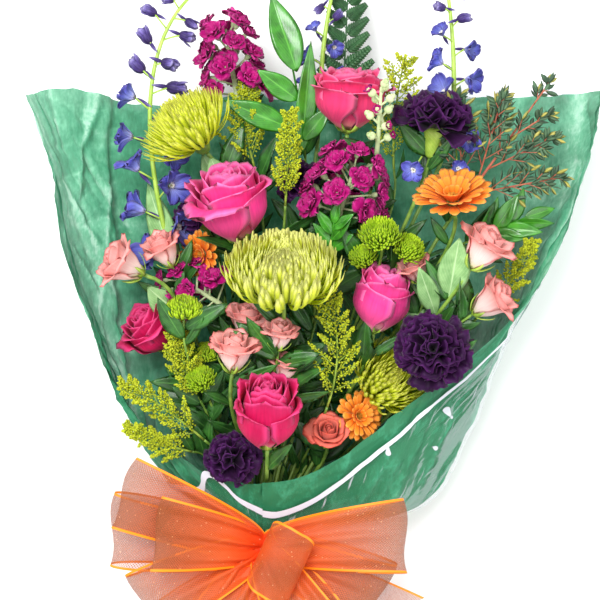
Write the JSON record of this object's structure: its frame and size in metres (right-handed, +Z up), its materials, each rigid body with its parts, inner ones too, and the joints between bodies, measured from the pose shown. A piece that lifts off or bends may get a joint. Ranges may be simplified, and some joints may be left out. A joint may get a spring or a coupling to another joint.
{
  "type": "mixed flower bouquet",
  "caption": "Hand-tied mixed bouquet of roses, carnations, mums, gerberas and filler sprays in green tissue and clear film with an orange organza bow, lying on its back.",
  "frame": {"origin": "middle of the flat spot on the back of the wrapper that the bouquet rests on", "axes": "+Y from the cut stems to the flower tips, along the bouquet's length; +Z up, from the back of the wrapper to the flowers; +X to the right seen from above"},
  "size_m": [0.5546, 0.6905, 0.202],
  "materials": {
    "green_tissue": "thin crumpled tissue that glows a little where light comes through",
    "clear_film": "clear cellophane film, glossy, with a plain white band along its edge",
    "raffia_tie": "matt twisted cord",
    "orange_organza": "sheer stiff organza with a shiny wired edge",
    "green_stem": "fresh green stems and leaves, satin",
    "fern_green": "matt dark green frond",
    "eucalyptus_green": "matt grey-green leaves on red-brown twigs",
    "pale_bud": "waxy pale buds tinged with purple",
    "pink_rose": "velvety petals",
    "salmon_rose": "velvety petals, darker at their edges",
    "purple_carnation": "frilled velvety petals",
    "lime_mum": "satin narrow petals",
    "green_pom": "small satin petals",
    "orange_gerbera": "satin petals",
    "blue_delphinium": "thin satin petals, buds darker",
    "magenta_stock": "ruffled soft petals",
    "goldenrod_yellow": "tiny fluffy florets",
    "ruscus_green": "glossy stiff leaves"
  },
  "bodies": {
    "root": {"binding": "raffia_tie", "button_pom_1": "green_pom", "button_pom_2": "green_pom", "button_pom_3": "green_pom", "button_pom_4": "green_pom", "button_pom_5": "green_pom", "button_pom_6": "green_pom", "carnation_1": "purple_carnation", "carnation_2": "purple_carnation", "carnation_3": "purple_carnation", "carnation_4": "purple_carnation", "carnation_5": "purple_carnation", "cellophane_wrap": "clear_film", "delphinium_1": "blue_delphinium", "delphinium_2": "blue_delphinium", "delphinium_3": "blue_delphinium", "eucalyptus": "eucalyptus_green", "fern": "fern_green", "football_mum": "lime_mum", "gerbera_1": "orange_gerbera", "gerbera_2": "orange_gerbera", "gerbera_3": "orange_gerbera", "goldenrod_1": "goldenrod_yellow", "goldenrod_2": "goldenrod_yellow", "goldenrod_3": "goldenrod_yellow", "goldenrod_4": "goldenrod_yellow", "goldenrod_5": "goldenrod_yellow", "goldenrod_6": "goldenrod_yellow", "goldenrod_7": "goldenrod_yellow", "goldenrod_8": "goldenrod_yellow", "ribbon_bow": "orange_organza", "rose_1": "pink_rose", "rose_2": "pink_rose", "rose_3": "pink_rose", "rose_4": "pink_rose", "rose_5": "pink_rose", "ruscus_1": "ruscus_green", "ruscus_2": "ruscus_green", "ruscus_3": "ruscus_green", "spider_mum_1": "lime_mum", "spider_mum_2": "lime_mum", "spray_rose_1": "salmon_rose", "spray_rose_10": "salmon_rose", "spray_rose_2": "salmon_rose", "spray_rose_3": "salmon_rose", "spray_rose_4": "salmon_rose", "spray_rose_5": "salmon_rose", "spray_rose_6": "salmon_rose", "spray_rose_7": "salmon_rose", "spray_rose_8": "salmon_rose", "spray_rose_9": "salmon_rose", "stem_bundle": "green_stem", "stock_1": "magenta_stock", "stock_2": "magenta_stock", "stock_3": "magenta_stock", "stock_4": "pale_bud", "tissue_wrap": "green_tissue"}
  },
  "joints": []
}
